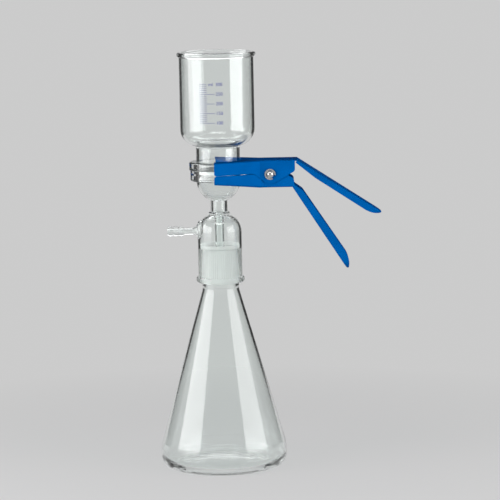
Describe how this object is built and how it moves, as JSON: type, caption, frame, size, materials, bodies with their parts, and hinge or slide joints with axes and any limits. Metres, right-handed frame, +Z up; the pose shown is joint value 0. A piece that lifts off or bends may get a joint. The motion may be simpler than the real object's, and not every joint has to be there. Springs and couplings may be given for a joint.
{
  "type": "vacuum filtration unit",
  "caption": "Glass funnel held by a spring clamp on a sintered-disc filter head with a side hose barb, standing on the ground neck of a conical flask.",
  "frame": {"origin": "centre of the flat ring that the flask stands on", "axes": "+Z up along the glassware's common axis, -X out along the hose barb, +X along the clamp's handles"},
  "size_m": [0.2359, 0.132, 0.438],
  "materials": {
    "glass": "clear, with ground joint faces",
    "frit": "white sintered glass",
    "anodised": "blue anodised, satin",
    "steel": "stainless",
    "spring_steel": "drawn wire"
  },
  "bodies": {
    "glassware": {"flask": "glass", "filter_head": "glass", "fritted_disc": "frit", "filter_funnel": "glass", "clamp_lower": "anodised", "pivot_pin": "steel", "retaining_clip": "steel", "torsion_spring": "spring_steel"},
    "clamp_arm": {"clamp_upper": "anodised"}
  },
  "joints": [
    {"name": "clamp_pivot", "type": "hinge", "parent": "glassware", "child": "clamp_arm", "pos_m": [0.054, 0, 0.3103], "axis": [0, 1, 0], "range_deg": [0, 15], "stiffness_Nm_per_rad": 1.5, "springref_deg": -40.11, "deforming": ["torsion_spring"]}
  ]
}
